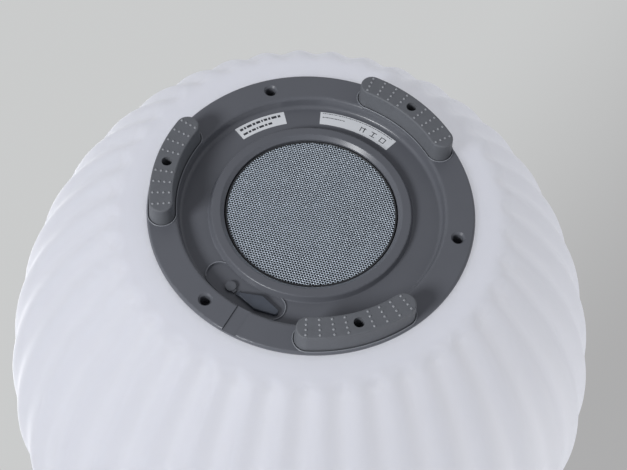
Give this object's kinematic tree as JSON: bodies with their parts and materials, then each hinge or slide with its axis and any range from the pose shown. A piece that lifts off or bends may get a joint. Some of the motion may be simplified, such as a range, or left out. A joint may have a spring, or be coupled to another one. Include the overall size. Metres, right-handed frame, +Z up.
{
  "type": "lantern party speaker",
  "caption": "Fluted translucent globe lamp with a loudspeaker in its grey base, arc feet, a perforated grille, a charging port and a cap with keys and a carrying bail.",
  "frame": {"origin": "on the table plane, under the middle of the three feet", "axes": "+Z up along the globe's axis, +Y towards the charging port's side, +X across the handle's pins"},
  "size_m": [0.352, 0.3524, 0.3824],
  "materials": {
    "globe_plastic": "translucent satin",
    "housing_plastic": "fine matt",
    "handle_plastic": "fine matt",
    "foot_rubber": "matt",
    "screw_steel": "black zinc",
    "standoff_brass": "plain",
    "seal_rubber": "matt",
    "grille_steel": "satin",
    "grille_cloth": "black acoustic cloth",
    "label_paper": "satin",
    "plug_rubber": "satin",
    "board_laminate": "satin",
    "socket_steel": "plain",
    "key_plastic": "satin",
    "component_plastic": "plain",
    "frame_steel": "satin",
    "magnet_ferrite": "plain",
    "coil_copper": "enamelled copper",
    "cone_paper": "treated",
    "spider_cloth": "resin treated",
    "chamber_plastic": "plain",
    "cell_wrap": "film",
    "led_aluminium": "white solder mask",
    "led_resin": "clear",
    "wire_insulation": "satin"
  },
  "bodies": {
    "root": {"lantern_body": "globe_plastic", "base_housing": "housing_plastic", "top_cap": "housing_plastic", "foot_a": "foot_rubber", "foot_b": "foot_rubber", "foot_c": "foot_rubber", "base_screws": "screw_steel", "driver_screws": "screw_steel", "chamber_screws": "screw_steel", "board_screws": "screw_steel", "top_screws": "screw_steel", "handle_pins": "screw_steel", "led_standoffs": "standoff_brass", "board_standoffs": "standoff_brass", "base_seal": "seal_rubber", "top_seal": "seal_rubber", "driver_gasket": "seal_rubber", "surround": "seal_rubber", "speaker_grille": "grille_steel", "grille_cloth": "grille_cloth", "left_label": "label_paper", "right_label": "label_paper", "plug_anchor": "plug_rubber", "port_board": "board_laminate", "main_board": "board_laminate", "key_board": "board_laminate", "charge_socket": "socket_steel", "battery_strap": "socket_steel", "power_switch": "component_plastic", "key_switches": "component_plastic", "board_components": "component_plastic", "terminal_strip": "component_plastic", "driver_basket": "frame_steel", "front_plate": "frame_steel", "yoke": "frame_steel", "magnet": "magnet_ferrite", "spider": "spider_cloth", "chamber_wall": "chamber_plastic", "chamber_lid": "chamber_plastic", "battery_shelf": "chamber_plastic", "battery_cells": "cell_wrap", "led_plate": "led_aluminium", "led_chips": "led_resin", "status_lens": "led_resin", "speaker_lead": "wire_insulation", "battery_lead": "wire_insulation", "led_lead": "wire_insulation", "port_cable": "wire_insulation", "key_cable": "wire_insulation"},
    "handle": {"handle": "handle_plastic"},
    "port_plug": {"port_plug": "plug_rubber"},
    "power_button": {"power_button": "key_plastic"},
    "cone": {"speaker_cone": "cone_paper", "dust_cap": "cone_paper", "voice_coil": "coil_copper"},
    "volume_up_key": {"volume_up_key": "key_plastic"},
    "volume_down_key": {"volume_down_key": "key_plastic"},
    "light_key": {"light_key": "key_plastic"},
    "pairing_key": {"pairing_key": "key_plastic"}
  },
  "joints": [
    {"name": "handle_swing", "type": "hinge", "parent": "root", "child": "handle", "pos_m": [0, 0, 0.3751], "axis": [1, 0, 0], "range_deg": [0, 180]},
    {"name": "plug_hinge", "type": "hinge", "parent": "root", "child": "port_plug", "pos_m": [-0.0387, 0.04728, 0.01915], "axis": [-0.6334, 0.7738, 0], "range_deg": [0, 100]},
    {"name": "power_press", "type": "slide", "parent": "root", "child": "power_button", "axis": [0, 0, 1], "range_m": [0, 0.0005], "stiffness_N_per_m": 400, "springref_m": -0.0005},
    {"name": "cone_travel", "type": "slide", "parent": "root", "child": "cone", "axis": [0, 0, -1], "range_m": [-0.002, 0.002], "stiffness_N_per_m": 2500, "deforming": ["surround", "spider"]},
    {"name": "volume_up_press", "type": "slide", "parent": "root", "child": "volume_up_key", "axis": [0, 0, -1], "range_m": [0, 0.0006], "stiffness_N_per_m": 700, "springref_m": -0.0012},
    {"name": "volume_down_press", "type": "slide", "parent": "root", "child": "volume_down_key", "axis": [0, 0, -1], "range_m": [0, 0.0006], "stiffness_N_per_m": 700, "springref_m": -0.0012},
    {"name": "light_press", "type": "slide", "parent": "root", "child": "light_key", "axis": [0, 0, -1], "range_m": [0, 0.0006], "stiffness_N_per_m": 700, "springref_m": -0.0012},
    {"name": "pairing_press", "type": "slide", "parent": "root", "child": "pairing_key", "axis": [0, 0, -1], "range_m": [0, 0.0006], "stiffness_N_per_m": 700, "springref_m": -0.0012}
  ]
}
